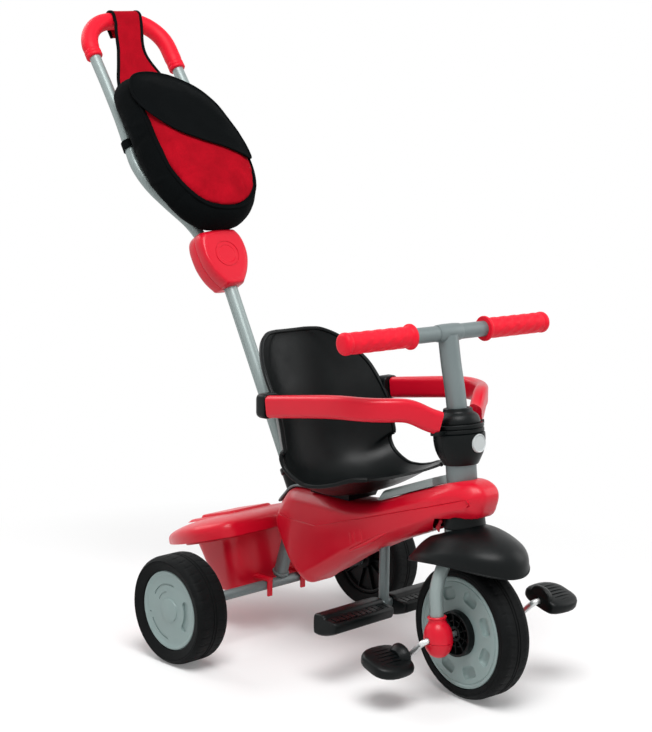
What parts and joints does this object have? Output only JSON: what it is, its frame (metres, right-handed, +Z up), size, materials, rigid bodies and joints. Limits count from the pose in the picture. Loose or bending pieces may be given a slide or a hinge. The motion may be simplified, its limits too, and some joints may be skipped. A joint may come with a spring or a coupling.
{
  "type": "child's push tricycle with parent handle",
  "caption": "Child's push tricycle: red moulded body on a steel frame, bucket seat with swing arms, foot rest, lidded rear tub and a parent handle that carries a bag.",
  "frame": {"origin": "on the ground under the middle of the bounding box", "axes": "rides towards -Y, its right side is -X, +Z up"},
  "size_m": [0.49, 0.9697, 1.0273],
  "materials": {
    "red_plastic": "moulded, semi-gloss",
    "frame_paint": "grey metallic powder coat",
    "light_paint": "light grey metallic powder coat",
    "grey_plastic": "moulded, satin grey",
    "wheel_plastic": "moulded, satin grey",
    "black_plastic": "moulded, fine grain",
    "tyre": "matt black tread",
    "steel": "bright zinc plate",
    "silver": "silver coated plastic",
    "red_rubber": "soft ribbed grip",
    "black_fabric": "woven polyester",
    "red_fabric": "woven polyester"
  },
  "bodies": {
    "chassis": {"axle_tube": "frame_paint", "rear_axle_rod": "steel", "main_tube": "frame_paint", "handle_socket": "black_plastic", "head_tube": "frame_paint", "headset_lower": "black_plastic", "headset_upper": "black_plastic", "collar_front": "black_plastic", "collar_rear": "black_plastic", "badge_disc": "silver", "seat_shell": "black_plastic", "seat_bracket": "black_plastic", "rear_edge_trim": "grey_plastic", "top_cover": "grey_plastic", "footrest_post": "frame_paint", "storage_tub": "red_plastic", "body_shell_right": "red_plastic", "body_shell_left": "red_plastic"},
    "steering": {"fork": "light_paint", "crown_sleeve": "black_plastic", "fender": "black_plastic", "stem": "frame_paint", "crossbar": "frame_paint", "grip_right": "red_rubber", "grip_left": "red_rubber", "housing_upper_right": "red_plastic", "housing_lower_right": "red_plastic", "housing_upper_left": "red_plastic", "housing_lower_left": "red_plastic"},
    "toggle": {"steering_toggle": "red_plastic"},
    "front_wheel": {"front_tyre": "tyre", "front_disc_right": "wheel_plastic", "front_disc_left": "wheel_plastic", "hub_ring_right": "black_plastic", "hub_ring_left": "black_plastic", "crank_rod": "steel"},
    "push_handle": {"handle_tube": "light_paint", "clamp_front": "red_plastic", "clamp_rear": "red_plastic", "loop_tube": "light_paint", "arch_grip": "red_rubber", "bag_body": "black_fabric", "bag_flap": "black_fabric", "bag_strap": "red_fabric", "bag_tape_right": "black_fabric", "bag_tape_left": "black_fabric"},
    "lid": {"storage_lid": "red_plastic"},
    "pedal_right": {"pedal_right": "black_plastic"},
    "rear_wheel_right": {"rear_tyre_right": "tyre", "rear_disc_outer_right": "wheel_plastic", "rear_disc_inner_right": "black_plastic"},
    "safety_arm_right": {"safety_arm_right": "red_plastic"},
    "foot_pad_right": {"foot_pad_right": "black_plastic"},
    "pedal_left": {"pedal_left": "black_plastic"},
    "rear_wheel_left": {"rear_tyre_left": "tyre", "rear_disc_outer_left": "wheel_plastic", "rear_disc_inner_left": "black_plastic"},
    "safety_arm_left": {"safety_arm_left": "red_plastic"},
    "foot_pad_left": {"foot_pad_left": "black_plastic"}
  },
  "joints": [
    {"name": "steering_turn", "type": "hinge", "parent": "chassis", "child": "steering", "pos_m": [0, -0.3845, 0.1], "axis": [0, 0.108, 0.9942], "range_deg": [-23.15, 36.85]},
    {"name": "push_handle_turn", "type": "hinge", "parent": "chassis", "child": "push_handle", "pos_m": [0, -0.0125, 0.243], "axis": [0, 0.4618, 0.887], "range_deg": [-23.15, 36.85]},
    {"name": "toggle_tip", "type": "hinge", "parent": "steering", "child": "toggle", "pos_m": [-0.02141, -0.34419, 0.25958], "axis": [-0.7296, -0.6799, 0.0739], "range_deg": [-12, 0]},
    {"name": "front_wheel_spin", "type": "hinge", "parent": "steering", "child": "front_wheel", "pos_m": [0, -0.3845, 0.1], "axis": [0.9929, -0.1186, 0.0129], "continuous": true},
    {"name": "pedal_right_spin", "type": "hinge", "parent": "front_wheel", "child": "pedal_right", "pos_m": [0.00464, -0.34911, 0.06791], "axis": [0.9929, -0.1186, 0.0129], "continuous": true},
    {"name": "pedal_left_spin", "type": "hinge", "parent": "front_wheel", "child": "pedal_left", "pos_m": [-0.00464, -0.41989, 0.13209], "axis": [0.9929, -0.1186, 0.0129], "continuous": true},
    {"name": "rear_wheel_right_spin", "type": "hinge", "parent": "chassis", "child": "rear_wheel_right", "pos_m": [-0.216, 0.0225, 0.085], "axis": [1, 0, 0], "continuous": true},
    {"name": "rear_wheel_left_spin", "type": "hinge", "parent": "chassis", "child": "rear_wheel_left", "pos_m": [0.216, 0.0225, 0.085], "axis": [1, 0, 0], "continuous": true},
    {"name": "safety_arm_right_swing", "type": "hinge", "parent": "chassis", "child": "safety_arm_right", "pos_m": [0, -0.35264, 0.39327], "axis": [0, 0.108, 0.9942], "range_deg": [0, 60]},
    {"name": "safety_arm_left_swing", "type": "hinge", "parent": "chassis", "child": "safety_arm_left", "pos_m": [0, -0.35264, 0.39327], "axis": [0, 0.108, 0.9942], "range_deg": [-60, 0]},
    {"name": "storage_lid_lift", "type": "hinge", "parent": "chassis", "child": "lid", "pos_m": [0, 0.03686, 0.19512], "axis": [1, 0, 0], "range_deg": [0, 60]},
    {"name": "foot_pad_right_fold", "type": "hinge", "parent": "chassis", "child": "foot_pad_right", "pos_m": [0, -0.2085, 0.1], "axis": [1, 0, 0], "range_deg": [-90, 0]},
    {"name": "foot_pad_left_fold", "type": "hinge", "parent": "chassis", "child": "foot_pad_left", "pos_m": [0, -0.2085, 0.1], "axis": [1, 0, 0], "range_deg": [-90, 0]}
  ],
  "couplings": [
    {"joint": "push_handle_turn", "follows": "steering_turn", "ratio": 1}
  ]
}
